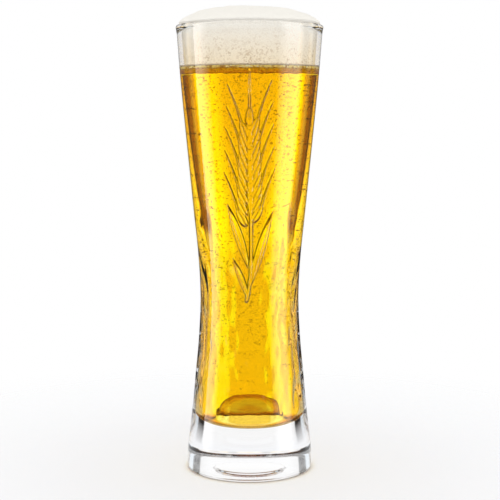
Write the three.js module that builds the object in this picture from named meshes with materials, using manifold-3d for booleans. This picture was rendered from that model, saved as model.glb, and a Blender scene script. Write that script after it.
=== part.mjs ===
// A tall waisted beer glass, filled, in millimetres with +Z up.
// The glass is one pressed piece with a thick foot; the beer and its head of foam are the other two.
// The origin is the centre of the face that the foot stands on, and the raised ornament faces -Y.

import * as THREE from 'three';
import { mergeVertices } from 'three/addons/utils/BufferGeometryUtils.js';
import Module from 'manifold-3d';

const wasm = await Module();
wasm.setup();

// Driving dimensions of the glass: heights above the table and radii from the axis
const AROUND = 40;
const RIM_HEIGHT = 235;
const LIP_RADIUS = 1.3;
const LIP_CENTRE = 37.15;
const FOOT_RADIUS = 33.5;
const FOOT_CORNER = 2.2;
const PUNT_RADIUS = 12.5;
const PUNT_RISE = 1.2;
const CAVITY_FLOOR = 25.2;
const CAVITY_LOW_RADIUS = 19.7;
const GROOVE_OUTER_CORNER = 3.2;
const GROOVE_INNER_CORNER = 2.2;
const KICK_UP_RADIUS = 13.4;
const KICK_UP_TOP = 40.2;
const KICK_UP_FULLNESS = 2.2;

// Outside wall from foot to lip, and inside wall from lip to cavity floor, as radius at height
const OUTSIDE = [
  [33.3, 9.4], [32.1, 20.5], [30.3, 36], [28.7, 53], [27.1, 70], [26.1, 92], [27.1, 114],
  [29.4, 137], [31.65, 160], [33.9, 183], [36.1, 207], [37.9, 230.5],
];
const INSIDE = [
  [35.9, 231], [33.65, 208], [31.2, 185], [28.5, 163], [25.4, 141],
  [21.5, 119], [17.6, 97], [16.9, 75], [17.9, 52],
];

// Driving dimensions of what is in the glass
const BEER_LEVEL = 213.5;
const CONTENTS_GAP = 0.3;
const HEAD = [
  [36.6, 236.8], [32, 239.6], [25.5, 241.9], [18, 243.4], [9, 244.2], [0, 244.4],
];

// Driving dimensions of the raised barley ornament on the front
const RELIEF_SINK = 0.5;
const STEM_FROM = 93;
const STEM_TO = 138;
const STEM_THICKNESS = 2.2;
const EAR_ROWS = 9;
const EAR_PITCH = 5.5;
const EAR_NARROWING = 0.35;
const GRAIN = { width: 4.4, length: 11, height: 2.1, offset: 3.9, lean: 0.48 };
const AWN = { thickness: 0.85, length: 19, spread: 0.34 };
const LEAF_WIDTH = 4.2;
const LEAF_HEIGHT = 1.1;
const LEAVES = [
  { side: 1, from: 104, reach: 12, rise: 36 },
  { side: -1, from: 113, reach: 11.5, rise: 31 },
  { side: -1, from: 97, reach: 8.5, rise: 19 },
];

// A run of points on a smooth curve through stations given as radius and height
function smooth(stations, perSpan) {
  const curve = new THREE.SplineCurve(stations.map(([r, z]) => new THREE.Vector2(r, z)));
  return curve.getPoints((stations.length - 1) * perSpan);
}

// Points on a circular arc, with angles in degrees
function arc(r, z, radius, from, to, steps) {
  return Array.from({ length: steps + 1 }, (_, i) => {
    const angle = THREE.MathUtils.degToRad(from + ((to - from) * i) / steps);
    return new THREE.Vector2(r + radius * Math.cos(angle), z + radius * Math.sin(angle));
  });
}

// The outside wall from the foot's corner to the lip
const wall = smooth([[FOOT_RADIUS, FOOT_CORNER], ...OUTSIDE], 2);

// The outer radius of the plain wall at a height
function wallRadius(height) {
  const above = Math.max(1, wall.findIndex((point) => point.y >= height));
  const [a, b] = [wall[above - 1], wall[above]];
  return THREE.MathUtils.lerp(a.x, b.x, (height - a.y) / (b.y - a.y));
}

// Underside of the foot from the axis outwards: a shallow recess, the standing ring and its corner
function footProfile() {
  const half = PUNT_RISE / 2;
  return [
    new THREE.Vector2(0, PUNT_RISE),
    ...arc(PUNT_RADIUS - half, half, half, 90, 0, 2),
    ...arc(PUNT_RADIUS + half, half, half, 180, 270, 2).slice(1),
    ...arc(FOOT_RADIUS - FOOT_CORNER, FOOT_CORNER, FOOT_CORNER, -90, 0, 4),
  ];
}

// The cavity from the lip down to the top of the kick-up on the axis
function cavityProfile() {
  const low = [CAVITY_LOW_RADIUS, CAVITY_FLOOR + GROOVE_OUTER_CORNER];
  const inside = smooth([...INSIDE, low], 2);
  const outer = arc(low[0] - GROOVE_OUTER_CORNER, low[1], GROOVE_OUTER_CORNER, 0, -90, 3);
  const base = CAVITY_FLOOR + GROOVE_INNER_CORNER;
  const inner = arc(KICK_UP_RADIUS + GROOVE_INNER_CORNER, base, GROOVE_INNER_CORNER, -90, -180, 2);
  const steps = 6;
  const kickUp = Array.from({ length: steps }, (_, i) => {
    const angle = (Math.PI / 2) * ((i + 1) / steps);
    const power = 2 / KICK_UP_FULLNESS;
    return new THREE.Vector2(
      i + 1 === steps ? 0 : KICK_UP_RADIUS * Math.cos(angle) ** power,
      base + (KICK_UP_TOP - base) * Math.sin(angle) ** power,
    );
  });
  return [...inside, ...outer.slice(1), ...inner, ...kickUp];
}

// A profile moved sideways off itself by a gap, towards the side on its left
function offset(profile, gap) {
  return profile.map((point, i) => {
    const before = profile[Math.max(0, i - 1)];
    const after = profile[Math.min(profile.length - 1, i + 1)];
    const along = after.clone().sub(before).normalize();
    const moved = new THREE.Vector2(point.x - along.y * gap, point.y + along.x * gap);
    if (point.x === 0) moved.x = 0;
    return moved;
  });
}

// The part of a falling profile between two heights, with its ends cut exactly there
function between(profile, top, bottom) {
  const kept = [];
  profile.forEach((point, i) => {
    const next = profile[i + 1];
    if (point.y <= top && point.y >= bottom) kept.push(point);
    if (!next) return;
    [top, bottom].forEach((level) => {
      if (point.y > level && next.y < level) {
        kept.push(point.clone().lerp(next, (point.y - level) / (point.y - next.y)));
      }
    });
  });
  return kept;
}

// A body of revolution about Z from a profile that starts and ends on the axis
function turned(profile) {
  return new THREE.LatheGeometry(profile, AROUND).rotateX(Math.PI / 2);
}

// A closed geometry as a solid that can be joined to others
function solid(geometry) {
  const bare = new THREE.BufferGeometry();
  bare.setAttribute('position', geometry.getAttribute('position').clone());
  const count = bare.getAttribute('position').count;
  bare.setIndex(geometry.index ? [...geometry.index.array] : [...Array(count).keys()]);
  const merged = mergeVertices(bare, 1e-4);
  const corners = merged.index.array;
  const kept = [];
  for (let i = 0; i < corners.length; i += 3) {
    const [a, b, c] = corners.slice(i, i + 3);
    if (a !== b && b !== c && c !== a) kept.push(a, b, c);
  }
  return new wasm.Manifold(new wasm.Mesh({
    numProp: 3,
    vertProperties: new Float32Array(merged.getAttribute('position').array),
    triVerts: new Uint32Array(kept),
  }));
}

// A solid back as a geometry with flat-shaded faces
function geometryOf(manifold) {
  const mesh = manifold.getMesh();
  const geometry = new THREE.BufferGeometry();
  geometry.setAttribute('position', new THREE.BufferAttribute(mesh.vertProperties, 3));
  geometry.setIndex(new THREE.BufferAttribute(mesh.triVerts, 1));
  geometry.computeVertexNormals();
  return geometry;
}

// Wraps a flat ornament on the front of the glass: x is along the wall, -y out of it, z the height
function wrapped(geometry) {
  const place = geometry.getAttribute('position');
  for (let i = 0; i < place.count; i += 1) {
    const radius = wallRadius(place.getZ(i));
    const angle = place.getX(i) / radius;
    const reach = radius - RELIEF_SINK - place.getY(i);
    place.setXYZ(i, reach * Math.sin(angle), -reach * Math.cos(angle), place.getZ(i));
  }
  return geometry;
}

// One plump grain, leaning outwards from the stem
function grain(x, height, lean) {
  const shape = new THREE.SphereGeometry(0.5, 7, 6);
  shape.rotateX(Math.PI / 2);
  shape.scale(GRAIN.width, 2 * (GRAIN.height - RELIEF_SINK), GRAIN.length);
  shape.rotateY(lean);
  return shape.translate(x, 0, height);
}

// One long bristle that tapers from the tip of the grain at a place
function awn(x, height, grainLean) {
  const shape = new THREE.CylinderGeometry(0.15, AWN.thickness, AWN.length, 5);
  shape.rotateX(Math.PI / 2);
  shape.translate(0, 0, AWN.length / 2);
  shape.rotateY(Math.sign(x) * AWN.spread);
  const tip = 0.4 * GRAIN.length;
  shape.translate(tip * Math.sin(grainLean), 0, tip * Math.cos(grainLean));
  return shape.translate(x, -RELIEF_SINK / 2, height);
}

// The stem, a bar of six sides along the wall with a slight sway
function stem() {
  const middle = (STEM_FROM + STEM_TO) / 2;
  const path = new THREE.CatmullRomCurve3([
    new THREE.Vector3(-1.6, -RELIEF_SINK, STEM_FROM),
    new THREE.Vector3(0.8, -RELIEF_SINK, middle),
    new THREE.Vector3(0, -RELIEF_SINK, STEM_TO + EAR_ROWS * EAR_PITCH),
  ]);
  const section = new THREE.Shape();
  section.absarc(0, 0, STEM_THICKNESS / 2, 0, Math.PI * 2);
  return new THREE.ExtrudeGeometry(section, {
    extrudePath: path, steps: 14, curveSegments: 6, bevelEnabled: false,
  });
}

// A blade that leaves the stem at a height, bends outwards and rises to a point
function leaf({ side, from, reach, rise }) {
  const bend = 0.62;
  const blade = new THREE.Shape();
  blade.moveTo(0, from);
  blade.quadraticCurveTo((side * LEAF_WIDTH) / 2, from + bend * rise, side * reach, from + rise);
  blade.quadraticCurveTo(
    side * (bend * reach + LEAF_WIDTH / 2), from + 0.7 * bend * rise,
    side * (STEM_THICKNESS / 2), from - LEAF_WIDTH / 2,
  );
  blade.closePath();
  const shape = new THREE.ExtrudeGeometry(blade, {
    depth: RELIEF_SINK + LEAF_HEIGHT, curveSegments: 7, bevelEnabled: false,
  });
  return shape.rotateX(Math.PI / 2);
}

// The whole barley ornament: stem, three leaves, rows of grains and their bristles
function barley() {
  const shapes = [stem(), ...LEAVES.map(leaf)];
  const top = STEM_TO + EAR_ROWS * EAR_PITCH;
  for (let row = 0; row < EAR_ROWS; row += 1) {
    const narrowing = 1 - EAR_NARROWING * (row / EAR_ROWS);
    [-1, 1].forEach((side) => {
      const x = side * GRAIN.offset * narrowing;
      const height = STEM_TO + row * EAR_PITCH + side;
      const lean = side * GRAIN.lean * narrowing;
      shapes.push(grain(x, height, lean));
      if (row % 2 === 0) shapes.push(awn(x, height, lean));
    });
  }
  shapes.push(grain(0, top, 0), awn(0, top, 0));
  return shapes.map((shape) => solid(wrapped(shape)));
}

// The glass: foot, waisted wall, rounded lip and cavity, with the ornament raised out of its front
function glassGeometry() {
  const lip = arc(LIP_CENTRE, RIM_HEIGHT - LIP_RADIUS, LIP_RADIUS, -30, 210, 8);
  const profile = [
    ...footProfile(),
    ...wall.slice(1),
    ...lip,
    ...cavityProfile(),
  ];
  return geometryOf(barley().reduce((glass, shape) => glass.add(shape), solid(turned(profile))));
}

// The beer, as far down as the groove around the kick-up
function beerGeometry() {
  const wet = between(offset(cavityProfile(), -CONTENTS_GAP), BEER_LEVEL, 0);
  return turned([...wet.reverse(), new THREE.Vector2(0, BEER_LEVEL)]);
}

// The head of foam, from the beer up past the lip, where it stands a little proud of the inside wall
function foamGeometry() {
  const bottom = BEER_LEVEL + CONTENTS_GAP;
  const lipFoot = RIM_HEIGHT - 2 * LIP_RADIUS;
  const side = between(offset(cavityProfile(), -CONTENTS_GAP), lipFoot, bottom).reverse();
  const neck = new THREE.Vector2(LIP_CENTRE - LIP_RADIUS - CONTENTS_GAP, RIM_HEIGHT - LIP_RADIUS);
  return turned([new THREE.Vector2(0, bottom), ...side, neck, ...smooth(HEAD, 2)]);
}

// A named mesh with its own material
function piece(name, geometry, look) {
  const mesh = new THREE.Mesh(geometry, new THREE.MeshStandardMaterial(look));
  mesh.name = name;
  return mesh;
}

const beerGlass = new THREE.Group();
beerGlass.add(
  piece('glass', glassGeometry(), {
    color: 0xf4f7f6, roughness: 0.02, metalness: 0, transparent: true, opacity: 0.3,
  }),
  piece('beer', beerGeometry(), {
    color: 0xeeb20c, roughness: 0.05, metalness: 0, transparent: true, opacity: 0.85,
  }),
  piece('foam_head', foamGeometry(), { color: 0xf3ead9, roughness: 0.85, metalness: 0 }),
);

export default beerGlass;
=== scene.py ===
"""A tall waisted beer glass with a thick clear foot, full of golden beer under a domed head of foam.

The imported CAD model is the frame, in metres, with +Z up and the raised barley on the -Y side.
Glass, beer and foam are modelled here in their places and stand for their CAD nodes. The bubbles in the
beer and the raft of bubbles on it have no CAD nodes and are added here.
"""

import logging
import math
from collections.abc import Iterable, Sequence
from dataclasses import dataclass
from enum import Enum
from functools import reduce
from random import Random

import bpy
import numpy as np
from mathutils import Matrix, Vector, noise

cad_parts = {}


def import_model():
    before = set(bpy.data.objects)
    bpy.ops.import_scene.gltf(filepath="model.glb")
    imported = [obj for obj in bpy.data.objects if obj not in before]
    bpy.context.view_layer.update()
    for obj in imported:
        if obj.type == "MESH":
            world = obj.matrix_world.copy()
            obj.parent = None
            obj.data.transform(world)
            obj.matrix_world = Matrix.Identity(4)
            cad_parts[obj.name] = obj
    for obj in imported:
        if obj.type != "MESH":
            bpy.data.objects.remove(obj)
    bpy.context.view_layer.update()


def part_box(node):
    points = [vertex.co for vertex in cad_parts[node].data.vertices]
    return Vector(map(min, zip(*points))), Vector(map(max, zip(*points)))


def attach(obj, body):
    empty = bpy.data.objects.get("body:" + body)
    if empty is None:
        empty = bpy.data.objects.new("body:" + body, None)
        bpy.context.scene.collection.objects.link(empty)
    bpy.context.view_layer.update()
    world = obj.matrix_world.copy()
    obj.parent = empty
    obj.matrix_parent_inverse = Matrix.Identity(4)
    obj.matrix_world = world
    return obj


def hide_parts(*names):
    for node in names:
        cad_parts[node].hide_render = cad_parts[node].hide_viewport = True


LOG = logging.getLogger("beer_glass")
ROOT = "root"
PAINTED_EDGE_SHADE = "steep"
MM = 0.001
MERGE_DISTANCE = 0.002 * MM
FINE_BUBBLES = 2.3
FINE_RELIEF = 0.4

Station = tuple[float, float]
Colour = tuple[float, float, float]
Stop = tuple[float, Colour, float]

WHITE: Colour = (1.0, 1.0, 1.0)
CREAM: Colour = (1.0, 0.93, 0.85)
LAGER: Colour = (1.0, 0.85, 0.3)
AMBER: Colour = (1.0, 0.72, 0.27)
PALE_GOLD: Colour = (1.0, 0.82, 0.5)
GOLD: Colour = (1.0, 0.68, 0.14)
BROWN: Colour = (0.95, 0.42, 0.06)
BLUISH: Colour = (0.82, 0.92, 1.0)


class Side(Enum):
    """A side of the raised stalk, as seen from the front."""

    LEFT = -1
    RIGHT = 1


class Ray(Enum):
    """The kinds of ray that the studio answers in a way of its own."""

    SIGHT = "Is Camera Ray"
    MIRRORED = "Is Reflection Ray"
    THROUGH_GLASS = "Is Transmission Ray"


# Outlines


def between(a: float, b: float, c: float, d: float, t: float) -> float:
    """A value at the share t of the way from b to c, on a smooth curve through a, b, c and d."""
    square, cube = 2 * a - 5 * b + 4 * c - d, 3 * b - a - 3 * c + d
    return 0.5 * (2 * b + (c - a) * t + square * t**2 + cube * t**3)


def smooth(stations: Sequence[Station], per_span: int) -> list[Station]:
    """Points on a smooth curve through stations.

    Args:
        stations: radius and height of each point that the curve passes.
        per_span: how many points each span between two stations gets.

    Returns:
        The points, the first and the last station included.
    """
    padded = [stations[0], *stations, stations[-1]]
    points = []
    for before, start, end, after in zip(padded, padded[1:], padded[2:], padded[3:]):
        for step in range(per_span):
            t = step / per_span
            points.append(tuple(between(*four, t) for four in zip(before, start, end, after)))
    return [*points, stations[-1]]


def arc(centre: Station, radius: float, start: float, end: float, steps: int) -> list[Station]:
    """Points on a circular arc.

    Args:
        centre: radius and height of the arc's centre.
        radius: the arc's own radius.
        start: the angle of its first point, in degrees.
        end: the angle of its last point, in degrees.
        steps: how many spans it has.

    Returns:
        The points, both ends included.
    """
    angles = [math.radians(start + (end - start) * i / steps) for i in range(steps + 1)]
    return [(centre[0] + radius * math.cos(a), centre[1] + radius * math.sin(a)) for a in angles]


def offset(outline: Sequence[Station], gap: float) -> list[Station]:
    """An outline moved sideways off itself.

    Args:
        outline: the points to move.
        gap: how far they move, towards the left of the way the outline runs.

    Returns:
        The moved points. Those on the axis stay on it.
    """
    moved = []
    for i, (radius, height) in enumerate(outline):
        back, ahead = outline[max(0, i - 1)], outline[min(len(outline) - 1, i + 1)]
        along = Vector((ahead[0] - back[0], ahead[1] - back[1])).normalized()
        moved.append((radius - along.y * gap if radius > 0 else 0.0, height + along.x * gap))
    return moved


def below(outline: Sequence[Station], level: float) -> list[Station]:
    """The part of an outline under a level.

    Args:
        outline: points that start above the level.
        level: the height of the cut.

    Returns:
        The points from where the outline first comes down to the level.
    """
    first = next(i for i, point in enumerate(outline) if point[1] < level)
    (upper_radius, upper), (lower_radius, lower) = outline[first - 1], outline[first]
    share = (upper - level) / (upper - lower)
    return [(upper_radius + (lower_radius - upper_radius) * share, level), *outline[first:]]


def disc(radius: float, height: float, rings: int) -> list[Station]:
    """Points on a level line from the axis outwards, without the one at its full radius."""
    return [(radius * i / rings, height) for i in range(rings)]


# Modelling helpers


def deselect() -> None:
    """Leaves object mode with nothing selected."""
    if bpy.context.object and bpy.context.object.mode != "OBJECT":
        bpy.ops.object.mode_set(mode="OBJECT")
    bpy.ops.object.select_all(action="DESELECT")


def select_only(piece: bpy.types.Object) -> None:
    """Makes a piece the active object and the only one selected.

    Args:
        piece: the piece.
    """
    deselect()
    bpy.context.view_layer.objects.active = piece
    piece.select_set(True)


def spun(name: str, outline: Sequence[Station], steps: int) -> bpy.types.Object:
    """A closed body of revolution about the Z axis.

    Args:
        name: the new piece's name.
        outline: half a section, from the axis round the outside and back to the axis.
        steps: how many faces go round.

    Returns:
        The piece, smooth shaded.
    """
    deselect()
    bpy.ops.mesh.primitive_plane_add(size=MM, location=(0, 0, 0))
    piece = bpy.context.object
    piece.name = piece.data.name = name
    bpy.ops.object.mode_set(mode="EDIT")
    bpy.ops.mesh.select_all(action="SELECT")
    bpy.ops.mesh.merge(type="CENTER")
    radius, height = outline[0]
    bpy.ops.transform.translate(value=(radius, 0, height))
    for (r0, z0), (r1, z1) in zip(outline, outline[1:]):
        bpy.ops.mesh.extrude_region_move(TRANSFORM_OT_translate={"value": (r1 - r0, 0, z1 - z0)})
    bpy.ops.mesh.select_all(action="SELECT")
    bpy.ops.mesh.spin(steps=steps, angle=2 * math.pi, center=(0, 0, 0), axis=(0, 0, 1))
    bpy.ops.mesh.select_all(action="SELECT")
    bpy.ops.mesh.remove_doubles(threshold=MERGE_DISTANCE)
    bpy.ops.mesh.normals_make_consistent(inside=False)
    bpy.ops.object.mode_set(mode="OBJECT")
    bpy.ops.object.shade_smooth()
    return piece


def corners(piece: bpy.types.Object) -> np.ndarray:
    """The places of a piece's vertices.

    Args:
        piece: the piece.

    Returns:
        The places, one row each.
    """
    places = np.empty(len(piece.data.vertices) * 3, dtype=np.float32)
    piece.data.vertices.foreach_get("co", places)
    return places.reshape(-1, 3).astype(float)


def place_corners(piece: bpy.types.Object, places: np.ndarray) -> None:
    """Moves a piece's vertices to new places, one row each."""
    piece.data.vertices.foreach_set("co", places.astype(np.float32).ravel())
    piece.data.update()


def refine(piece: bpy.types.Object, chosen: Iterable[int], cuts: int) -> None:
    """Subdivides some faces of a piece.

    Args:
        piece: the piece.
        chosen: the indices of the faces.
        cuts: how many cuts each of their edges gets.
    """
    select_only(piece)
    flags = np.zeros(len(piece.data.polygons), dtype=bool)
    flags[list(chosen)] = True
    bpy.ops.object.mode_set(mode="EDIT")
    bpy.ops.mesh.select_mode(type="FACE")
    bpy.ops.mesh.select_all(action="DESELECT")
    bpy.ops.object.mode_set(mode="OBJECT")
    piece.data.polygons.foreach_set("select", flags)
    bpy.ops.object.mode_set(mode="EDIT")
    bpy.ops.mesh.subdivide(number_cuts=cuts)
    bpy.ops.mesh.select_mode(type="VERT")
    bpy.ops.object.mode_set(mode="OBJECT")


# Node helpers


class Wiring:
    """Adds nodes to one node tree and links them."""

    def __init__(self, tree: bpy.types.NodeTree) -> None:
        """Takes the node tree to work in."""
        self.tree = tree

    def feed(self, socket: bpy.types.NodeSocket, value: object) -> None:
        """Links a socket to another, or sets its value.

        Args:
            socket: the socket.
            value: the other socket, or the value.
        """
        if isinstance(value, bpy.types.NodeSocket):
            self.tree.links.new(value, socket)
        else:
            socket.default_value = value

    def node(self, kind: str, inputs: dict | None = None, **options: object) -> bpy.types.Node:
        """Adds a node.

        Args:
            kind: the node's type.
            inputs: sockets, by name or place, with the value or socket that feeds each.
            options: the node's own settings.

        Returns:
            The node.
        """
        made = self.tree.nodes.new(kind)
        for option, value in options.items():
            setattr(made, option, value)
        for socket, value in (inputs or {}).items():
            self.feed(made.inputs[socket], value)
        return made

    def maths(self, operation: str, *values: object) -> bpy.types.NodeSocket:
        """The result of a Math node on values or sockets."""
        return self.node("ShaderNodeMath", dict(enumerate(values)), operation=operation).outputs[0]

    def product(self, *values: object) -> bpy.types.NodeSocket:
        """The product of values or sockets."""
        return reduce(lambda first, second: self.maths("MULTIPLY", first, second), values)

    def rest(self, share: object) -> bpy.types.NodeSocket:
        """What a share leaves of 1."""
        return self.maths("SUBTRACT", 1.0, share)

    def mapped(self, value: object, low: float, high: float) -> bpy.types.NodeSocket:
        """A socket that goes from 0 to 1 as a value goes from low to high."""
        inputs = {"Value": value, "From Min": low, "From Max": high}
        return self.node("ShaderNodeMapRange", inputs).outputs["Result"]

    def blend(self, share: object, first: object, second: object) -> bpy.types.NodeSocket:
        """A colour between two others.

        Args:
            share: 0 for the first colour, 1 for the second.
            first: the first colour.
            second: the second colour.

        Returns:
            The colour.
        """
        mix = self.node("ShaderNodeMix", data_type="RGBA")
        for socket, value in ((0, share), (6, first), (7, second)):
            self.feed(mix.inputs[socket], (*value, 1.0) if isinstance(value, tuple) else value)
        return mix.outputs[2]

    def place(self) -> bpy.types.NodeSocket:
        """Where on its piece a point is."""
        return self.node("ShaderNodeTexCoord").outputs["Object"]

    def height(self) -> bpy.types.NodeSocket:
        """How high on its piece a point is, in metres."""
        return self.node("ShaderNodeSeparateXYZ", {0: self.place()}).outputs["Z"]

    def relief(self, shader: bpy.types.Node, height: object, depth: float, strength: float = 1.0) -> None:
        """Gives a shader a relief.

        Args:
            shader: the shader.
            height: the height of each place.
            depth: how far a height of 1 is above 0, in metres.
            strength: how much of the relief shows.
        """
        inputs = {"Height": height, "Strength": strength, "Distance": depth}
        self.feed(shader.inputs["Normal"], self.node("ShaderNodeBump", inputs).outputs["Normal"])

    def ramp(self, value: object, stops: Sequence[tuple[float, Colour]]) -> bpy.types.NodeSocket:
        """A colour ramp.

        Args:
            value: what runs along it, from 0 to 1.
            stops: places with their colours, in order.

        Returns:
            The ramp's colour.
        """
        made = self.node("ShaderNodeValToRGB", {0: value})
        elements = made.color_ramp.elements
        elements.remove(elements[1])
        elements[0].position, elements[0].color = stops[0][0], (*stops[0][1], 1.0)
        for place, colour in stops[1:]:
            elements.new(place).color = (*colour, 1.0)
        return made.outputs["Color"]


def grey(value: float) -> Colour:
    """A neutral colour of one brightness."""
    return (value, value, value)


def scaled(colour: Colour, value: float) -> Colour:
    """A colour made brighter or darker by a factor."""
    return tuple(channel * value for channel in colour)


def crossed(passed: Colour) -> Colour:
    """The base colour of a clear surface that dims light to a colour when light crosses it once."""
    return tuple(channel**2 for channel in passed)


def spread(stops: Sequence[Stop], low: float = 0.0, high: float = 1.0) -> list[tuple[float, Colour]]:
    """The stops of a colour ramp.

    Args:
        stops: places with their colours and brightnesses, in order.
        low: the place at the ramp's start.
        high: the place at the ramp's end.

    Returns:
        The places from 0 to 1, with the colours at their brightness.
    """
    return [((place - low) / (high - low), scaled(colour, value)) for place, colour, value in stops]


def clear_values(ior: float) -> dict[str, object]:
    """The shader values of a smooth and clear body that bends light."""
    return {"Base Color": (*WHITE, 1.0), "Roughness": 0.0, "IOR": ior, "Transmission Weight": 1.0}


def new_material(name: str, values: dict[str, object]) -> tuple[bpy.types.Material, Wiring, bpy.types.Node]:
    """A material with its Principled shader.

    Args:
        name: the material's name.
        values: the shader's sockets with their plain values.

    Returns:
        The material, the wiring of its tree and the shader.
    """
    material = bpy.data.materials.new(name)
    material.use_nodes = True
    wiring = Wiring(material.node_tree)
    shader = material.node_tree.nodes["Principled BSDF"]
    for socket, value in values.items():
        wiring.feed(shader.inputs[socket], value)
    return material, wiring, shader


def bubble_cells() -> bpy.types.NodeTree:
    """The shader group of packed bubbles in two sizes, built once.

    Returns:
        The group. It gives a height at each place and a random value for each large bubble.
    """
    name = "packed_bubbles"
    if name in bpy.data.node_groups:
        return bpy.data.node_groups[name]
    group = bpy.data.node_groups.new(name, "ShaderNodeTree")
    wiring = Wiring(group)
    group.interface.new_socket("Vector", in_out="INPUT", socket_type="NodeSocketVector")
    group.interface.new_socket("Scale", in_out="INPUT", socket_type="NodeSocketFloat")
    group.interface.new_socket("Height", in_out="OUTPUT", socket_type="NodeSocketFloat")
    group.interface.new_socket("Cell", in_out="OUTPUT", socket_type="NodeSocketFloat")
    given = wiring.node("NodeGroupInput").outputs
    large = wiring.node("ShaderNodeTexVoronoi", {"Vector": given["Vector"], "Scale": given["Scale"]})
    fine_scale = wiring.product(given["Scale"], FINE_BUBBLES)
    fine = wiring.node("ShaderNodeTexVoronoi", {"Vector": given["Vector"], "Scale": fine_scale})
    domes = wiring.rest(large.outputs["Distance"])
    specks = wiring.product(wiring.rest(fine.outputs["Distance"]), FINE_RELIEF)
    channel = wiring.node("ShaderNodeSeparateColor", {0: large.outputs["Color"]})
    made = wiring.node("NodeGroupOutput")
    wiring.feed(made.inputs["Height"], wiring.maths("ADD", domes, specks))
    wiring.feed(made.inputs["Cell"], channel.outputs[0])
    return group


def cover_with_bubbles(
    wiring: Wiring, shader: bpy.types.Node, bubble: float, relief: float, strength: float = 1.0
) -> bpy.types.NodeSocket:
    """Covers a surface with packed bubbles.

    Args:
        wiring: the wiring of the material's tree.
        shader: its shader.
        bubble: the width of a large bubble.
        relief: how far a bubble stands out.
        strength: how much of that shows.

    Returns:
        A random value for each large bubble.
    """
    cells = wiring.node("ShaderNodeGroup", node_tree=bubble_cells())
    wiring.feed(cells.inputs["Vector"], wiring.place())
    wiring.feed(cells.inputs["Scale"], 1 / bubble)
    wiring.relief(shader, cells.outputs["Height"], relief, strength)
    return cells.outputs["Cell"]


# Finishes


@dataclass(frozen=True)
class ClearGlass:
    """Clear soda-lime glass with the faint waves that a mould leaves, and painted shade along the ornament's
    steep edges.
    """

    ior: float = 1.5
    wave_length: float = 9 * MM
    wave_depth: float = 0.012 * MM
    # Painted shade: the colour that the glass turns to where the ornament's edge is steep, drawing dark
    # outlines.
    edge: Colour = (0.18, 0.1, 0.035)

    def material(self) -> bpy.types.Material:
        """Makes the material.

        Returns:
            The material.
        """
        material, wiring, shader = new_material("clear_glass", clear_values(self.ior))
        # Painted shade: the base colour darkens towards edge where the ornament rises steeply.
        steep = wiring.node("ShaderNodeAttribute", attribute_name=PAINTED_EDGE_SHADE).outputs["Fac"]
        wiring.feed(shader.inputs["Base Color"], wiring.blend(steep, WHITE, crossed(self.edge)))
        waves = wiring.node("ShaderNodeTexNoise", {
            "Vector": wiring.place(), "Scale": 1 / self.wave_length, "Detail": 1.0, "Roughness": 0.4,
        })
        wiring.relief(shader, waves.outputs[0], self.wave_depth)
        return material


@dataclass(frozen=True)
class GoldenBeer:
    """Clear pale lager, the more golden the deeper it is.

    The bands are painted shade and painted highlights in the colour of its side. They run from where its side
    faces the eye, at 0, to where it turns away, at 1.
    """

    ior: float = 1.335
    passed: Colour = (0.991, 0.95, 0.0)
    strength: float = 200.0
    # Painted shade and painted highlights: brown stops stand for dark surroundings seen through the beer,
    # cream ones for bright light and reflections.
    upper_painted_light: tuple[Stop, ...] = (
        (0, LAGER, 0.64), (0.04, LAGER, 0.64), (0.075, CREAM, 0.88), (0.165, CREAM, 1.0),
        (0.187, GOLD, 0.6), (0.215, GOLD, 0.38), (0.231, BROWN, 0.27), (0.258, BROWN, 0.2),
        (0.266, BROWN, 0.11), (0.274, BROWN, 0.12), (0.281, GOLD, 0.8), (0.3, PALE_GOLD, 1.0),
        (0.318, PALE_GOLD, 0.8),
    )
    waist_painted_light: tuple[Stop, ...] = (
        (0, AMBER, 0.58), (0.07, AMBER, 0.58), (0.11, CREAM, 0.66), (0.2, CREAM, 0.7),
        (0.25, PALE_GOLD, 0.75), (0.28, GOLD, 0.75), (0.36, GOLD, 0.7),
    )
    waist_height: tuple[float, float] = (112 * MM, 130 * MM)
    clear_from: tuple[float, float] = (4.5 * MM, 3.5 * MM)

    def material(self, level: float) -> bpy.types.Material:
        """Makes the material.

        Its side's colour dims what is seen through it in bands of painted shade and painted highlights, save
        just under its level.

        Args:
            level: the height of the beer's surface.

        Returns:
            The material.
        """
        material, wiring, shader = new_material("golden_beer", clear_values(self.ior))
        # Painted shade and painted highlights in the side's colour, by how the side faces the eye.
        turned = wiring.node("ShaderNodeLayerWeight", {"Blend": 0.5}).outputs["Facing"]
        upper, waist = (
            wiring.ramp(turned, [(place, crossed(colour)) for place, colour in spread(bands)])
            for bands in (self.upper_painted_light, self.waist_painted_light)
        )
        height = wiring.height()
        bands = wiring.blend(wiring.mapped(height, *self.waist_height), waist, upper)
        unpainted = wiring.mapped(height, *(level - under for under in self.clear_from))
        bands = wiring.blend(unpainted, bands, WHITE)
        inner = wiring.node("ShaderNodeNewGeometry").outputs["Backfacing"]
        wiring.feed(shader.inputs["Base Color"], wiring.blend(inner, bands, WHITE))
        absorbing = wiring.node("ShaderNodeVolumeAbsorption", {
            "Color": (*self.passed, 1.0), "Density": self.strength,
        })
        output = material.node_tree.nodes["Material Output"]
        wiring.feed(output.inputs["Volume"], absorbing.outputs[0])
        return material


@dataclass(frozen=True)
class Gas:
    """A gas bubble in beer, which bends light the other way than a drop does."""

    ior: float = 0.75

    def material(self) -> bpy.types.Material:
        """Makes the material."""
        material, _, _ = new_material("bubble_gas", clear_values(self.ior))
        return material


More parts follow.
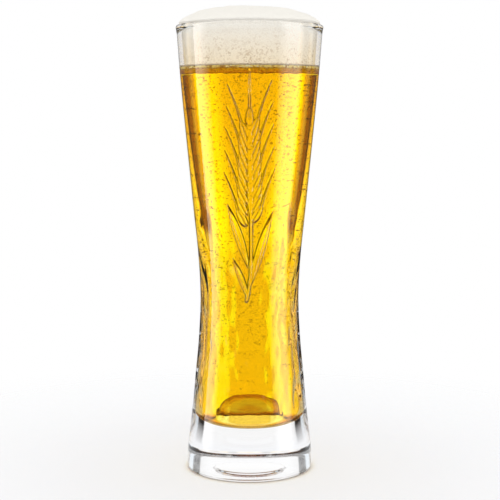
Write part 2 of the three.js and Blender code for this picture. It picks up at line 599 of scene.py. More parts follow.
@dataclass(frozen=True)
class CreamyFoam:
    """Beer foam: creamy white, a little darker and wetter towards the beer, with fine open bubbles."""

    dry: Colour = (0.98, 0.95, 0.88)
    wet: Colour = (0.97, 0.84, 0.62)
    pore: Colour = (0.42, 0.26, 0.10)
    pore_depth: float = 0.6
    pored_bubbles: tuple[float, float] = (0.55, 0.85)
    bubble: float = 0.65 * MM
    relief: float = 0.2 * MM
    relief_strength: float = 0.7
    patches_per_bubble: float = 0.16
    patch_edge: tuple[float, float] = (0.3, 0.6)

    def material(self, low: float, high: float) -> bpy.types.Material:
        """Makes the material.

        Args:
            low: the height at which the foam is wet.
            high: the height from which it is dry.

        Returns:
            The material.
        """
        material, wiring, shader = new_material("creamy_foam", {"Roughness": 0.7, "Specular IOR Level": 0.2})
        dryness = wiring.mapped(wiring.height(), low, high)
        body = wiring.blend(dryness, self.wet, self.dry)
        cell = cover_with_bubbles(wiring, shader, self.bubble, self.relief, self.relief_strength)
        patches = wiring.node("ShaderNodeTexNoise", {
            "Vector": wiring.place(), "Scale": self.patches_per_bubble / self.bubble, "Detail": 3.0,
        })
        dense = wiring.mapped(patches.outputs[0], *self.patch_edge)
        rare = wiring.mapped(cell, *self.pored_bubbles)
        pores = wiring.product(rare, dense, wiring.rest(dryness), self.pore_depth)
        wiring.feed(shader.inputs["Base Color"], wiring.blend(pores, body, self.pore))
        return material


@dataclass(frozen=True)
class WetFoam:
    """The raft of bubbles under the foam, where beer stands between them: brown, amber and gold."""

    dark: Colour = (0.42, 0.18, 0.02)
    amber: Colour = (1.0, 0.78, 0.22)
    gold: Colour = (1.0, 0.95, 0.6)
    amber_bubbles: tuple[float, float] = (0.4, 0.72)
    gold_bubbles: float = 0.95
    bubble: float = 1.0 * MM
    relief: float = 0.2 * MM

    def material(self) -> bpy.types.Material:
        """Makes the material.

        Returns:
            The material.
        """
        material, wiring, shader = new_material("wet_foam", {"Roughness": 0.3})
        cell = cover_with_bubbles(wiring, shader, self.bubble, self.relief)
        amber = [(place, self.amber) for place in self.amber_bubbles]
        stops = [(0.0, self.dark), *amber, (self.gold_bubbles, self.gold)]
        wiring.feed(shader.inputs["Base Color"], wiring.ramp(cell, stops))
        return material


# The raised ornament


@dataclass(frozen=True)
class Leaf:
    """One leaf of the stalk."""

    side: Side
    start: float
    reach: float
    rise: float


@dataclass(frozen=True)
class Barley:
    """A stalk of barley raised out of the wall, as a height over the wall at each place on it."""

    proud: float = 1.7 * MM
    bevel: float = 0.9 * MM
    # The slopes over which the glass's painted edge shade starts and becomes full.
    painted_shade_slope: tuple[float, float] = (0.6, 1.6)
    edge_step: float = 0.12 * MM
    stem_start: float = 93 * MM
    ear_start: float = 138 * MM
    stem_radius: float = 1.1 * MM
    stem_swell_in_ear: float = 0.8
    knot_length: float = 1.2 * MM
    knot_swell: float = 0.3
    sway: tuple[Station, ...] = ((-1.6 * MM, 93 * MM), (0.8 * MM, 115.5 * MM), (0.0, 187.5 * MM))
    rows: int = 9
    pitch: float = 5.5 * MM
    stagger: float = 1.0 * MM
    narrowing: float = 0.35
    grain_half_width: float = 2.2 * MM
    grain_half_length: float = 5.5 * MM
    grain_offset: float = 3.9 * MM
    grain_lean: float = 0.48
    grain_taper: float = 0.25
    furrow_depth: float = 0.4
    furrow_width: float = 0.16
    awn_length: float = 19 * MM
    awn_radius: float = 0.85 * MM
    awn_spread: float = 0.34
    awn_bend: tuple[float, float] = (0.75, 0.35)
    awn_foot: float = 0.8
    awn_taper: float = 0.75
    awn_height: float = 0.9
    leaf_width: float = 4.2 * MM
    leaf_bend: float = 0.62
    leaf_droop: float = 0.7
    leaf_point: float = 0.02 * MM
    leaf_height: float = 0.8
    rib_height: float = 0.25
    rib_width: float = 0.35 * MM
    leaves: tuple[Leaf, ...] = (
        Leaf(Side.RIGHT, 104 * MM, 12 * MM, 36 * MM),
        Leaf(Side.LEFT, 113 * MM, 11.5 * MM, 31 * MM),
        Leaf(Side.LEFT, 97 * MM, 8.5 * MM, 19 * MM),
    )

    @property
    def top(self) -> float:
        """The height of the topmost grain's middle."""
        return self.ear_start + self.rows * self.pitch

    def mound(self, reach: np.ndarray, half_width: float | np.ndarray) -> np.ndarray:
        """A mound with a flat top and a steep bevel of even width.

        Args:
            reach: how far out each place is, 0 in the middle and 1 at the edge.
            half_width: the distance from the middle to the edge, in metres.

        Returns:
            The height of each place, from 0 to 1.
        """
        inwards = np.clip((1 - reach) * half_width / self.bevel, 0, 1)
        return np.sin(math.pi / 2 * inwards)

    def grain(self, across: np.ndarray, height: np.ndarray, middle: Station, lean: float) -> np.ndarray:
        """The height of one grain, with a furrow down its length.

        Args:
            across: each place's distance from the front's middle, along the wall.
            height: each place's height.
            middle: where the grain's middle is.
            lean: how far it leans over, in radians.

        Returns:
            The height of each place, from 0 to 1.
        """
        side, up = across - middle[0], height - middle[1]
        along = up * math.cos(lean) + side * math.sin(lean)
        beside = side * math.cos(lean) - up * math.sin(lean)
        taper = 1 - self.grain_taper * np.clip(along / self.grain_half_length, -1, 1)
        reach = np.hypot(along / self.grain_half_length, beside / (self.grain_half_width * taper))
        furrow = self.furrow_depth * np.exp(-((beside / (self.furrow_width * self.grain_half_width)) ** 2))
        furrow *= along > -self.grain_half_length
        return self.mound(reach, self.grain_half_width) * (1 - furrow)

    def awn(self, across: np.ndarray, height: np.ndarray, foot: Station, side: float) -> np.ndarray:
        """The height of one bristle, which bends outwards a little as it rises to a point.

        Args:
            across: each place's distance from the front's middle, along the wall.
            height: each place's height.
            foot: where the bristle starts.
            side: -1 if it leans to the left, 0 if it stands upright, 1 if it leans to the right.

        Returns:
            The height of each place, from 0 to 1.
        """
        up = height - foot[1]
        share = np.clip(up / self.awn_length, 0, 1)
        straight, bend = self.awn_bend
        line = foot[0] + side * self.awn_spread * up * (straight + bend * share)
        half = self.awn_radius * (1 - self.awn_taper * share)
        inside = (up > 0) & (up < self.awn_length)
        return self.awn_height * self.mound(np.abs(across - line) / half, self.awn_radius) * inside

    def stem(self, across: np.ndarray, height: np.ndarray) -> np.ndarray:
        """The height of the stem, rounded and with a node where each leaf leaves it.

        Args:
            across: each place's distance from the front's middle, along the wall.
            height: each place's height.

        Returns:
            The height of each place, from 0 to 1.
        """
        line_at = smooth(self.sway, 12)
        line = np.interp(height, [z for _, z in line_at], [x for x, _ in line_at])
        knots = sum(np.exp(-(((height - leaf.start) / self.knot_length) ** 2)) for leaf in self.leaves)
        inside_ear = np.clip((height - self.ear_start) / self.pitch, 0, 1)
        half = self.stem_radius * (1 + self.knot_swell * knots + self.stem_swell_in_ear * inside_ear)
        ends = np.sqrt(np.clip((height - self.stem_start) / self.stem_radius, 0, 1))
        return self.mound(np.abs(across - line) / half, self.stem_radius) * ends * (height < self.top)

    def leaf(self, across: np.ndarray, height: np.ndarray, leaf: Leaf) -> np.ndarray:
        """The height of one leaf, with a raised rib along its middle.

        Args:
            across: each place's distance from the front's middle, along the wall.
            height: each place's height.
            leaf: the leaf.

        Returns:
            The height of each place, from 0 to a little over 1.
        """
        t = np.linspace(0, 1, 24)
        side, tip = leaf.side.value, (leaf.side.value * leaf.reach, leaf.start + leaf.rise)
        bend = self.leaf_bend

        def quadratic(start: Station, control: Station) -> np.ndarray:
            """Points on an edge of the leaf.

            Args:
                start: where the edge leaves the stem.
                control: the point that bends it.

            Returns:
                A row of places across and a row of heights.
            """
            return np.array([
                (1 - t) ** 2 * start[k] + 2 * t * (1 - t) * control[k] + t**2 * tip[k] for k in (0, 1)
            ])

        inner = quadratic((0, leaf.start), (side * self.leaf_width / 2, leaf.start + bend * leaf.rise))
        bend_height = leaf.start + self.leaf_droop * bend * leaf.rise
        outer = quadratic(
            (side * self.stem_radius, leaf.start - self.leaf_width / 2),
            (side * (bend * leaf.reach + self.leaf_width / 2), bend_height),
        )
        near, far = (np.interp(height, edge[1], edge[0]) for edge in (inner, outer))
        half = np.maximum(np.abs(far - near) / 2, self.leaf_point)
        beside = across - (near + far) / 2
        inside = (height > outer[1][0]) & (height < tip[1])
        rib = self.rib_height * np.exp(-((beside / self.rib_width) ** 2)) * (np.abs(beside) < half)
        return (self.leaf_height * self.mound(np.abs(beside) / half, half) + rib) * inside

    def height_at(self, across: np.ndarray, height: np.ndarray) -> np.ndarray:
        """How far the ornament stands out of the wall.

        Args:
            across: each place's distance from the front's middle, along the wall.
            height: each place's height.

        Returns:
            The distance that the wall is raised by, in metres.
        """
        raised = self.stem(across, height)
        for leaf in self.leaves:
            raised = np.maximum(raised, self.leaf(across, height, leaf))
        ear = [(0.0, self.top, 0.0, 0.0)]
        for row in range(self.rows):
            narrow = 1 - self.narrowing * row / self.rows
            for side in Side:
                x = side.value * self.grain_offset * narrow
                z = self.ear_start + row * self.pitch + side.value * self.stagger
                lean = side.value * self.grain_lean * narrow
                ear.append((x, z, lean, side.value if row % 2 == 0 else None))
        tip = self.awn_foot * self.grain_half_length
        for x, z, lean, side in ear:
            raised = np.maximum(raised, self.grain(across, height, (x, z), lean))
            if side is not None:
                foot = (x + tip * math.sin(lean), z + tip * math.cos(lean))
                raised = np.maximum(raised, self.awn(across, height, foot, side))
        return raised * self.proud

    def steepness(self, across: np.ndarray, height: np.ndarray) -> np.ndarray:
        """How steeply the ornament's edge rises, which sets where the glass is given painted shade.

        Args:
            across: each place's distance from the front's middle, along the wall.
            height: each place's height.

        Returns:
            0 for flat and 1 for steep, at each place.
        """
        step = self.edge_step
        sideways = self.height_at(across + step, height) - self.height_at(across - step, height)
        upwards = self.height_at(across, height + step) - self.height_at(across, height - step)
        slope = np.hypot(sideways, upwards) / (2 * step)
        low, high = self.painted_shade_slope
        return np.clip((slope - low) / (high - low), 0, 1)


# The glass and what it holds


@dataclass
class Glass:
    """The pressed glass: foot, waisted wall, lip and cavity in one piece, with the ornament on its front.

    The stations of its outside and inside are in millimetres.
    """

    foot_radius: float = 33.5 * MM
    foot_corner: float = 2.2 * MM
    punt_radius: float = 12.5 * MM
    punt_rise: float = 1.2 * MM
    lip_radius: float = 1.3 * MM
    lip_centre: float = 37.15 * MM
    lip_turn: tuple[float, float] = (-30.0, 210.0)
    cavity_floor: float = 25.2 * MM
    cavity_low_radius: float = 19.7 * MM
    groove_outer_corner: float = 3.2 * MM
    groove_inner_corner: float = 2.2 * MM
    kick_up_radius: float = 13.4 * MM
    kick_up_top: float = 40.2 * MM
    kick_up_fullness: float = 2.2
    dish_radius: float = 5.6 * MM
    dish_depth: float = 0.9 * MM
    ripple_depth: float = 0.3 * MM
    ripple_width: float = 3.6 * MM
    ripple_length: float = 11 * MM
    ripple_onset: float = 4 * MM
    ripple_end: tuple[float, float] = (118 * MM, 145 * MM)
    calm_kick_up: float = 1.2 * MM
    thinnest_wall: float = 1.5 * MM
    outside: tuple[Station, ...] = (
        (33.3, 9.4), (32.1, 20.5), (30.3, 36), (28.7, 53), (27.1, 70), (26.1, 92), (27.1, 114),
        (29.4, 137), (31.65, 160), (33.9, 183), (36.1, 207), (37.9, 230.5),
    )
    inside: tuple[Station, ...] = (
        (35.9, 231), (33.65, 208), (31.2, 185), (28.5, 163), (25.4, 141),
        (21.5, 119), (17.6, 97), (16.9, 75), (17.9, 52),
    )
    around: int = 168
    front_half_angle: float = 26.0
    front_margins: tuple[float, float] = (1.5 * MM, 25 * MM)
    front_cuts: int = 3
    fine_rings_under_stem: float = 2.0 * MM
    skin: float = 0.4 * MM
    ornament: Barley = Barley()
    finish: ClearGlass = ClearGlass()
    rim: float = 0.0

    def __post_init__(self) -> None:
        """Takes the rim's height from the frame."""
        self.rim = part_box("glass")[1].z

    def wall(self, coarse: int, fine: int) -> list[Station]:
        """The outside wall from the foot's corner to the lip.

        Args:
            coarse: points for each span below the ornament.
            fine: points for each span from the ornament up.

        Returns:
            The points.
        """
        stations = [(self.foot_radius, self.foot_corner), *((r * MM, z * MM) for r, z in self.outside)]
        plain = smooth(stations, coarse)
        detailed = smooth(stations, fine)
        split = self.ornament.stem_start - self.fine_rings_under_stem
        seam = split - 0.5 * MM
        return [p for p in plain if p[1] < seam] + [p for p in detailed if p[1] >= split]

    def wall_radius(self, height: np.ndarray) -> np.ndarray:
        """The plain wall's outer radius at each height."""
        points = self.wall(coarse=40, fine=40)
        return np.interp(height, [z for _, z in points], [r for r, _ in points])

    def cavity(self) -> list[Station]:
        """The cavity's wall from the lip down, round the groove and up to the top of the kick-up.

        Returns:
            The points.
        """
        corner = self.groove_outer_corner
        low = (self.cavity_low_radius, self.cavity_floor + corner)
        side = smooth([*((r * MM, z * MM) for r, z in self.inside), low], per_span=14)
        outer = arc((low[0] - corner, low[1]), corner, 0, -90, steps=8)
        corner = self.groove_inner_corner
        base = self.cavity_floor + corner
        inner = arc((self.kick_up_radius + corner, base), corner, -90, -180, steps=6)
        power, steps = 2 / self.kick_up_fullness, 30
        rise = self.kick_up_top - base
        dome = []
        for i in range(1, steps + 1):
            angle = math.pi / 2 * i / steps
            radius = self.kick_up_radius * max(math.cos(angle), 0.0) ** power
            dish = max(0.0, 1 - (radius / self.dish_radius) ** 2) * self.dish_depth
            dome.append((radius, base + rise * math.sin(angle) ** power - dish))
        dome[-1] = (0.0, self.kick_up_top - self.dish_depth)
        return [*side, *outer[1:], *inner, *dome]

    def ripple(self, places: np.ndarray) -> np.ndarray:
        """How far the lower part of the cavity's wall is off its true radius, which a mould leaves uneven.

        Args:
            places: points on the wall, one row each.

        Returns:
            The distance outwards for each point, in metres.
        """
        start = self.cavity_floor + self.groove_outer_corner
        fading, calm = self.ripple_end
        angle = np.arctan2(places[:, 1], places[:, 0])
        around = self.cavity_low_radius / self.ripple_width
        found = np.zeros(len(places))
        for i in np.flatnonzero((places[:, 2] > start) & (places[:, 2] < calm)):
            height = places[i, 2]
            share = min(1.0, (calm - height) / (calm - fading), (height - start) / self.ripple_onset)
            along = height / self.ripple_length
            spot = Vector((around * math.cos(angle[i]), around * math.sin(angle[i]), along))
            found[i] = self.ripple_depth * share * 2 * noise.noise(spot)
        return found

    def foot(self) -> list[Station]:
        """The underside from the axis outwards: a shallow recess, the standing ring and its corner.

        Returns:
            The points.
        """
        half = self.punt_rise / 2
        recess = disc(self.punt_radius, self.punt_rise, rings=8)
        step = arc((self.punt_radius - half, half), half, 90, 0, steps=6)
        heel = arc((self.punt_radius + half, half), half, 180, 270, steps=6)
        flat, start = self.foot_radius - self.foot_corner, self.punt_radius + half
        ring = [(start + (flat - start) * i / 6, 0.0) for i in range(1, 6)]
        corner = arc((flat, self.foot_corner), self.foot_corner, -90, 0, steps=10)
        return [*recess, *step, *heel[1:], *ring, *corner]

    def outline(self) -> list[Station]:
        """Half of the glass's section, from the underside's middle to the top of the kick-up."""
        lip = arc((self.lip_centre, self.rim - self.lip_radius), self.lip_radius, *self.lip_turn, steps=18)
        return [*self.foot(), *self.wall(coarse=9, fine=18)[1:], *lip, *self.cavity()]

    def raise_ornament(self, body: bpy.types.Object) -> None:
        """Refines the front of the wall and lifts the ornament out of it.

        Args:
            body: the glass.
        """
        mesh = body.data
        middles = np.array([polygon.center for polygon in mesh.polygons])
        angles = np.degrees(np.arctan2(middles[:, 0], -middles[:, 1]))
        outer = np.hypot(middles[:, 0], middles[:, 1]) > self.wall_radius(middles[:, 2]) - self.skin
        under_stem, over_ear = self.front_margins
        low, high = self.ornament.stem_start - under_stem, self.ornament.top + over_ear
        front = (np.abs(angles) < self.front_half_angle) & (middles[:, 2] > low) & (middles[:, 2] < high)
        refine(body, np.flatnonzero(outer & front), self.front_cuts)
        places = corners(body)
        radius = np.hypot(places[:, 0], places[:, 1])
        plain = self.wall_radius(places[:, 2])
        angle = np.arctan2(places[:, 0], -places[:, 1])
        wall = (radius > plain - self.skin) & (places[:, 2] > low - MM) & (places[:, 2] < high + MM)
        wall &= np.abs(np.degrees(angle)) < self.front_half_angle + 1
        across, height = angle * plain, places[:, 2]
        raised = plain + self.ornament.height_at(across, height)
        scale = np.where(wall, raised / np.maximum(radius, MM), 1.0)
        places[:, :2] *= scale[:, None]
        place_corners(body, places)
        # The steepness is kept on the glass as the mask of its painted edge shade.
        steep = np.zeros(len(places))
        steep[wall] = self.ornament.steepness(across[wall], height[wall])
        body.data.attributes.new(PAINTED_EDGE_SHADE, "FLOAT", "POINT").data.foreach_set("value", steep.astype(np.float32))

    def uneven(self, body: bpy.types.Object) -> None:
        """Gives a piece's surface along the cavity's wall the wall's ripples.

        Args:
            body: the piece.
        """
        places = corners(body)
        radius = np.hypot(places[:, 0], places[:, 1])
        off_kick_up = radius > self.kick_up_radius + self.calm_kick_up
        inside = radius < self.wall_radius(places[:, 2]) - self.thinnest_wall
        moved = np.where(off_kick_up & inside, radius + self.ripple(places), radius)
        places[:, :2] *= (moved / np.maximum(radius, 0.01 * MM))[:, None]
        place_corners(body, places)

    def build(self) -> bpy.types.Object:
        """Builds the glass and dresses it.

        Returns:
            The piece.
        """
        body = spun("pressed_glass", self.outline(), self.around)
        self.raise_ornament(body)
        self.uneven(body)
        body.data.materials.append(self.finish.material())
        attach(body, ROOT)
        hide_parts("glass")
        return body


@dataclass
class Beer:
    """The beer, from the groove round the kick-up to its level.

    Its surface lies a little inside the wall, so that it wets the glass.
    """

    glass: Glass
    wetting: float = 0.15 * MM
    around: int = 144
    finish: GoldenBeer = GoldenBeer()
    level: float = 0.0

    def __post_init__(self) -> None:
        """Takes the beer's level from the frame."""
        self.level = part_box("beer")[1].z

    def build(self) -> bpy.types.Object:
        """Builds the beer and dresses it.

        Returns:
            The piece.
        """
        wet = below(offset(self.glass.cavity(), self.wetting), self.level)
        top = disc(wet[0][0], self.level, rings=10)
        body = spun("golden_beer", [*top, *wet], self.around)
        self.glass.uneven(body)
        body.data.materials.append(self.finish.material(self.level))
        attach(body, ROOT)
        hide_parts("beer")
        return body


@dataclass
class Bubbles:
    """Bubbles in the beer: most are small and near the wall, more of them higher up, some in the middle."""

    glass: Glass
    beer: Beer
    count: int = 5200
    smallest: float = 0.18 * MM
    largest: float = 0.46 * MM
    fineness: float = 2.2
    crowding_upwards: float = 0.6
    near_wall: float = 0.8
    near_wall_depth: float = 2.5 * MM
    wall_gap: float = 0.1 * MM
    end_gap: float = 2 * MM
    off_kick_up: float = 0.8
    seed: int = 7
    finish: Gas = Gas()

    def places(self) -> list[tuple[Vector, float]]:
        """Scatters the bubbles.

        Returns:
            The middle and the radius of each.
        """
        random = Random(self.seed)
        least = self.off_kick_up * self.glass.cavity_low_radius
        cavity = [point for point in self.glass.cavity() if point[0] >= least]
        heights = [z for _, z in reversed(cavity)]
        radii = [r for r, _ in reversed(cavity)]
        low, high = self.glass.kick_up_top + self.end_gap, self.beer.level - self.end_gap
        found = []
        for _ in range(self.count):
            height = low + (high - low) * random.random() ** self.crowding_upwards
            size = self.smallest + (self.largest - self.smallest) * random.random() ** self.fineness
            wall = float(np.interp(height, heights, radii)) - size - self.wall_gap
            near_wall = random.random() < self.near_wall
            inset = random.random() ** 2 * self.near_wall_depth if near_wall else random.random() * wall
            angle = random.uniform(0, 2 * math.pi)
            out = max(wall - inset, 0)
            found.append((Vector((out * math.cos(angle), out * math.sin(angle), height)), size))
        return found

    def build(self) -> bpy.types.Object:
        """Builds the bubbles as one piece of small balls and dresses it.

        Returns:
            The piece.
        """
        deselect()
        bpy.ops.mesh.primitive_ico_sphere_add(subdivisions=1, radius=1.0, location=(0, 0, 0))
        bpy.ops.object.shade_smooth()
        pattern = bpy.context.object
        unit = corners(pattern)
        faces = [list(polygon.vertices) for polygon in pattern.data.polygons]
        places = self.places()
        points = np.concatenate([unit * size + np.array(middle) for middle, size in places])
        shifted = [[corner + len(unit) * i for corner in face] for i in range(len(places)) for face in faces]
        mesh = bpy.data.meshes.new("rising_bubbles")
        mesh.from_pydata(points.tolist(), [], shifted)
        bpy.data.objects.remove(pattern)
        body = bpy.data.objects.new("rising_bubbles", mesh)
        bpy.context.scene.collection.objects.link(body)
        select_only(body)
        bpy.ops.object.shade_smooth()
        body.data.materials.append(self.finish.material())
        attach(body, ROOT)
        return body


@dataclass
class FoamHead:
    """The head of foam, from the beer up past the lip to an uneven dome. Its stations are in millimetres."""

    glass: Glass
    beer: Beer
    dome: tuple[Station, ...] = (
        (36.6, 236.8), (32, 239.6), (25.5, 241.9), (18, 243.4), (9, 244.2), (0, 244.4),
    )
    beer_gap: float = 0.05 * MM
    wall_gap: float = 0.1 * MM
    neck_gap: float = 0.3 * MM
    swell: float = 0.8 * MM
    swell_length: float = 14 * MM
    swell_onset: float = 2 * MM
    small_swell: float = 0.35
    small_swell_length: float = 0.3
    around: int = 180
    finish: CreamyFoam = CreamyFoam()

    def outline(self) -> list[Station]:
        """Half of the foam's section.

        Returns:
            The points, from the middle of its underside.
        """
        glass = self.glass
        bottom, under_lip = self.beer.level + self.beer_gap, glass.rim - 2 * glass.lip_radius
        upward = reversed(offset(glass.cavity(), -self.wall_gap))
        side = [p for p in upward if p[0] > 0.5 * glass.lip_centre and bottom < p[1] < under_lip]
        neck = (glass.lip_centre - glass.lip_radius - self.neck_gap, glass.rim - glass.lip_radius)
        floor = [*disc(side[0][0], bottom, rings=14), (side[0][0], bottom)]
        head = smooth([neck, *((r * MM, z * MM) for r, z in self.dome)], per_span=10)
        return [*floor, *side, *head]

    def build(self) -> bpy.types.Object:
        """Builds the foam, swells its dome unevenly and dresses it.

        Returns:
            The piece.
        """
        body = spun("creamy_head", self.outline(), self.around)
        places = corners(body)
        for place in places:
            lift = max(0.0, min(1.0, (place[2] - self.glass.rim) / self.swell_onset))
            if lift > 0:
                broad = noise.noise(Vector(place) / self.swell_length)
                small = noise.noise(Vector(place) / (self.small_swell_length * self.swell_length))
                place[2] += lift * self.swell * (broad + self.small_swell * small)
        place_corners(body, places)
        body.data.materials.append(self.finish.material(self.beer.level, self.glass.rim))
        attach(body, ROOT)
        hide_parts("foam_head")
        return body


@dataclass
class BubbleRaft:
    """The raft of wet bubbles under the foam, in the top of the beer."""

    glass: Glass
    beer: Beer
    depth: float = 1.3 * MM
    level_gap: float = 0.06 * MM
    wall_gap: float = 0.12 * MM
    edge_round: float = 0.2 * MM
    edge_turn: tuple[float, float] = (0.5, 0.85)
    rough_from: float = 0.9
    roughness: float = 1.5 * MM
    cell: float = 2.2 * MM
    around: int = 300
    finish: WetFoam = WetFoam()

    def build(self) -> bpy.types.Object:
        """Builds the raft and dresses it.

        Returns:
            The piece.
        """
        top = self.beer.level - self.level_gap
        out = below(offset(self.glass.cavity(), -self.wall_gap), top)[0][0]
        over, under = (disc(out, height, rings=40) for height in (top, top - self.depth))
        turned, rounded = (top - share * self.depth for share in self.edge_turn)
        edge = [(out, top), (out, turned), (out - self.edge_round, rounded)]
        body = spun("bubble_raft", [*over, *edge, *reversed(under)], self.around)
        places = corners(body)
        for place in places:
            if place[2] < top - self.rough_from * self.depth:
                distances, _ = noise.voronoi(Vector(place) / self.cell)
                place[2] -= self.roughness * (0.5 - distances[0])
        place_corners(body, places)
        body.data.materials.append(self.finish.material())
        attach(body, ROOT)
        return body


# The studio


@dataclass
class Studio:
    """A pale floor under even white light, with lamps and flats that only glass and beer show. Seen through
    the beer, the floor has a painted gold glow and a painted shadow ring under the foot.

    Light that crossed glass alone sees two backdrops. The stripes beside the wall give its thick glass the
    beer's colours, and those beside the foot draw its edges. Light that crossed beer sees past_beer, which is
    brighter than white, and the painted shade and painted highlights in the beer's own colour dim it. Light
    that bounced inside sees gold above the horizon, near black under it and stripes overhead.

    A pair of values is where something starts and where it is complete. The floor's are in metres from its
    middle, beer_depth counts the surfaces that a ray has crossed, near_side is the Y of its direction, and
    the others are degrees above the horizon. The stops of the two backdrops are degrees from straight behind
    or before the glass to its sides, those of the battens degrees above the horizon, those of the lamps
    degrees round from the front towards the right, and those under the beer shares of where floor_clear is
    complete.
    """

    floor_radius: float = 0.3
    floor_clear: tuple[float, float] = (0.04, 0.06)
    floor_fade: tuple[float, float] = (0.1, 0.28)
    floor_colour: Colour = (0.96, 0.97, 0.99)
    # Painted light and painted shadow: seen through the beer, the floor glows gold, with a dark ring under
    # the foot.
    painted_glow_and_shadow_under_beer: tuple[tuple[float, Colour], ...] = (
        (0.0, (1.5, 0.92, 0.16)), (0.36, (1.5, 0.92, 0.16)), (0.44, (0.15, 0.06, 0.01)),
        (0.54, (0.15, 0.06, 0.01)), (0.62, (1.5, 0.92, 0.16)),
    )
    beer_depth: tuple[float, float] = (4.5, 5.5)
    past_beer: float = 2.0
    wall_backdrop: tuple[Stop, ...] = (
        (0, GOLD, 1.5), (3, PALE_GOLD, 1.8), (6, PALE_GOLD, 1.8), (8, BROWN, 0.15),
        (12, BROWN, 0.15), (14, GOLD, 1.8), (18, PALE_GOLD, 1.8), (21, BROWN, 0.2),
        (25, BROWN, 0.6), (30, PALE_GOLD, 1.8), (38, BROWN, 0.15), (44, GOLD, 1.6),
        (50, BROWN, 0.1), (60, PALE_GOLD, 1.8), (70, BROWN, 0.1), (80, BROWN, 0.05), (88, GOLD, 1.5),
    )
    foot_backdrop: tuple[Stop, ...] = (
        (0, WHITE, 1.0), (30, WHITE, 1.0), (40, WHITE, 0.9), (42, WHITE, 0.02), (54, WHITE, 0.02),
        (57, BLUISH, 1.0), (69, BLUISH, 1.0), (72, BROWN, 0.1), (84, WHITE, 0.02), (88, WHITE, 0.9),
    )
    wall_under: tuple[float, float] = (-2.5, -4.5)
    wall_over: tuple[float, float] = (-18.5, -16.5)
    skirting: tuple[float, float] = (-31.0, -34.0)
    skirting_shade: float = 0.06
    ground: tuple[float, float] = (-44.0, -52.0)
    ceiling: tuple[float, float] = (26.0, 34.0)
    ceiling_shade: float = 0.08
    ceiling_past_beer: tuple[float, float] = (7.5, 9.0)
    ceiling_gold: float = 0.6
    battens: tuple[Stop, ...] = (
        (32, BROWN, 0.08), (37, BROWN, 0.08), (41, WHITE, 0.95), (56, WHITE, 0.95), (60, BROWN, 0.1),
        (66, BROWN, 0.1), (70, WHITE, 0.95),
    )
    near_side: tuple[float, float] = (0.1, -0.1)
    dark_under: tuple[float, float] = (6.0, 3.0)
    bounced_over: tuple[float, float] = (-45.0, -32.0)
    bounced_gold: float = 1.4
    bounced_dark: float = 0.03
    lamp_foot: tuple[float, float] = (-30.0, -25.0)
    lamp_top: tuple[float, float] = (60.0, 57.0)
    lamps: tuple[Stop, ...] = (
        (-99.5, WHITE, 0.0), (-99, WHITE, 1.0), (-84, WHITE, 0.8), (-68, WHITE, 0.0),
        (47, WHITE, 0.0), (65, WHITE, 0.85), (85, WHITE, 0.85), (97, WHITE, 0.0),
    )
    lamp_strength: float = 3.5
    room: float = 0.06

    def floor(self) -> bpy.types.Object:
        """Builds the floor, which fades into the white behind it and, seen through the beer, shows a painted
        gold glow and a painted shadow ring.

        Returns:
            The floor.
        """
        deselect()
        bpy.ops.mesh.primitive_circle_add(vertices=96, radius=self.floor_radius, fill_type="NGON")
        floor = bpy.context.object
        floor.name = floor.data.name = "pale_floor"
        material, wiring, shader = new_material("pale_floor", {
            "Base Color": (*self.floor_colour, 1.0), "Roughness": 1.0, "Specular IOR Level": 0.0,
        })
        length = wiring.node("ShaderNodeVectorMath", {0: wiring.place()}, operation="LENGTH")
        distance = length.outputs["Value"]
        path = wiring.node("ShaderNodeLightPath").outputs
        through = path[Ray.THROUGH_GLASS.value]
        out_of_glass = wiring.product(through, wiring.mapped(distance, *self.floor_clear))
        gone = wiring.maths("MAXIMUM", out_of_glass, wiring.mapped(distance, *self.floor_fade))
        past_beer = wiring.mapped(path["Transmission Depth"], *self.beer_depth)
        # Painted light and painted shadow: a gold glow with a dark ring under the foot, seen only through the
        # beer.
        ring = wiring.ramp(wiring.mapped(distance, 0.0, self.floor_clear[1]), self.painted_glow_and_shadow_under_beer)
        shade = wiring.blend(past_beer, self.floor_colour, ring)
        glow = wiring.node("ShaderNodeEmission", {"Color": shade}).outputs[0]
        lit = wiring.node("ShaderNodeMixShader", {0: through, 1: shader.outputs[0], 2: glow}).outputs[0]
        clear = wiring.node("ShaderNodeBsdfTransparent").outputs[0]
        mixed = wiring.node("ShaderNodeMixShader", {0: gone, 1: lit, 2: clear}).outputs[0]
        wiring.feed(material.node_tree.nodes["Material Output"].inputs["Surface"], mixed)
        floor.data.materials.append(material)
        return floor

    def flats(
        self,
        wiring: Wiring,
        parts: dict[str, bpy.types.NodeSocket],
        height: bpy.types.NodeSocket,
        beer: bpy.types.NodeSocket,
    ) -> bpy.types.NodeSocket:
        """What is seen through the glass and the beer, all round.

        Args:
            wiring: the wiring of the world's tree.
            parts: the direction's X, Y and Z.
            height: the direction's angle above the horizon.
            beer: 1 where the ray came through beer, 0 where it didn't.

        Returns:
            The colour.
        """
        aside, deep = (wiring.maths("ABSOLUTE", parts[axis]) for axis in "XY")
        turn = wiring.maths("DIVIDE", wiring.maths("ARCTAN2", aside, deep), math.pi / 2)
        wall, foot = (
            wiring.ramp(turn, spread(stops, high=90)) for stops in (self.wall_backdrop, self.foot_backdrop)
        )
        beside_wall = wiring.product(
            wiring.mapped(height, *self.wall_under), wiring.mapped(height, *self.wall_over)
        )
        flats = wiring.blend(beer, wiring.blend(beside_wall, foot, wall), grey(self.past_beer))
        skirting = wiring.product(wiring.rest(beer), wiring.mapped(height, *self.skirting))
        return wiring.blend(skirting, flats, grey(self.skirting_shade))

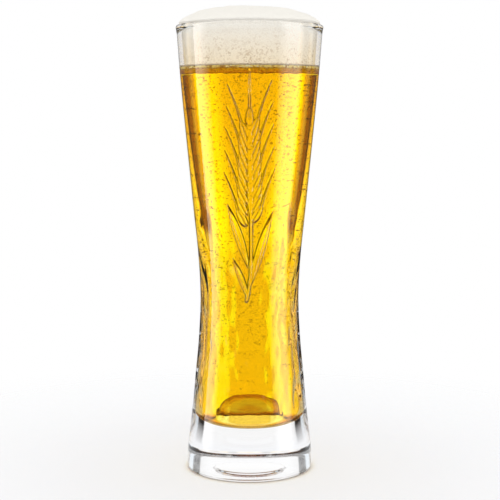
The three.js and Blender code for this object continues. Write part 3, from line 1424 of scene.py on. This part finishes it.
    def mirrored(
        self, wiring: Wiring, parts: dict[str, bpy.types.NodeSocket], height: bpy.types.NodeSocket
    ) -> bpy.types.NodeSocket:
        """How bright what the outside mirrors is: tall lamps in a dim room.

        Args:
            wiring: the wiring of the world's tree.
            parts: the direction's X, Y and Z.
            height: the direction's angle above the horizon.

        Returns:
            The brightness.
        """
        off_front = wiring.maths("ARCTAN2", parts["X"], wiring.product(parts["Y"], -1.0))
        lamps = wiring.ramp(wiring.mapped(off_front, -math.pi, math.pi), spread(self.lamps, -180, 180))
        above, under = (wiring.mapped(height, *edge) for edge in (self.lamp_foot, self.lamp_top))
        return wiring.maths("ADD", wiring.product(above, under, lamps, self.lamp_strength), self.room)

    def light(self) -> None:
        """Lights the studio from all round."""
        world = bpy.data.worlds.new("white_studio")
        bpy.context.scene.world = world
        world.use_nodes = True
        wiring = Wiring(world.node_tree)
        direction = wiring.node("ShaderNodeTexCoord").outputs["Generated"]
        parts = dict(zip("XYZ", wiring.node("ShaderNodeSeparateXYZ", {0: direction}).outputs))
        height = wiring.maths("DEGREES", wiring.maths("ARCSINE", parts["Z"]))
        path = wiring.node("ShaderNodeLightPath").outputs
        beer = wiring.mapped(path["Transmission Depth"], *self.beer_depth)
        bounced, after_diffuse = (
            wiring.maths("MINIMUM", path[depth], 1.0) for depth in ("Glossy Depth", "Diffuse Depth")
        )
        low = wiring.mapped(height, *self.dark_under)
        near_side = wiring.product(wiring.mapped(parts["Y"], *self.near_side), low)
        shaded = wiring.product(
            bounced, wiring.maths("MAXIMUM", near_side, beer), wiring.mapped(height, *self.bounced_over)
        )
        shade = wiring.blend(low, scaled(GOLD, self.bounced_gold), grey(self.bounced_dark))
        seen = wiring.blend(shaded, self.flats(wiring, parts, height, beer), shade)
        seen = wiring.blend(wiring.mapped(height, *self.ground), seen, WHITE)
        above = wiring.mapped(height, *self.ceiling_past_beer)
        dim_above = wiring.product(beer, wiring.rest(bounced), above)
        seen = wiring.blend(dim_above, seen, scaled(GOLD, self.ceiling_gold))
        battens = wiring.ramp(wiring.mapped(height, 0, 90), spread(self.battens, high=90))
        ceiling = wiring.blend(bounced, scaled(BROWN, self.ceiling_shade), battens)
        seen = wiring.blend(wiring.mapped(height, *self.ceiling), seen, ceiling)
        seen = wiring.blend(path[Ray.MIRRORED.value], seen, self.mirrored(wiring, parts, height))
        for plain in (after_diffuse, path[Ray.SIGHT.value]):
            seen = wiring.blend(plain, seen, WHITE)
        background = world.node_tree.nodes["Background"]
        wiring.feed(background.inputs["Color"], seen)
        background.inputs["Strength"].default_value = 1.0


@dataclass
class Camera:
    """The camera, in front of the glass and a little above its middle, looking slightly down."""

    distance: float = 0.66055
    height: float = 0.19015
    aside: float = 0.00026
    tilt: float = 6.3
    lens: float = 90.0
    sensor: float = 36.0
    nearest: float = 0.01

    def build(self) -> bpy.types.Object:
        """Places the camera and makes it the scene's.

        Returns:
            The camera.
        """
        deselect()
        bpy.ops.object.camera_add(
            location=(self.aside, -self.distance, self.height),
            rotation=(math.radians(90 - self.tilt), 0, 0),
        )
        camera = bpy.context.object
        camera.name = "front_camera"
        camera.data.lens = self.lens
        camera.data.sensor_width = self.sensor
        camera.data.clip_start = self.nearest
        bpy.context.scene.camera = camera
        return camera


def settle_scene() -> None:
    """Sets how colours are shown and how far light is followed through glass."""
    scene = bpy.context.scene
    scene.view_settings.view_transform = "Standard"
    scene.cycles.max_bounces = 24
    scene.cycles.transmission_bounces = 20
    scene.cycles.glossy_bounces = 8
    scene.cycles.blur_glossy = 0.0
    scene.world.cycles.sampling_method = "NONE"


def main() -> None:
    """Builds the glass, its beer and foam and the studio, and notes their sizes."""
    logging.basicConfig(level=logging.INFO, format="%(name)s: %(message)s")
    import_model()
    Camera().build()
    glass = Glass()
    beer = Beer(glass)
    parts = (glass, beer, Bubbles(glass, beer), FoamHead(glass, beer), BubbleRaft(glass, beer))
    for part in parts:
        piece = part.build()
        LOG.info("%s has %d faces", piece.name, len(piece.data.polygons))
    studio = Studio()
    studio.floor()
    studio.light()
    settle_scene()


if __name__ == "__main__":
    main()
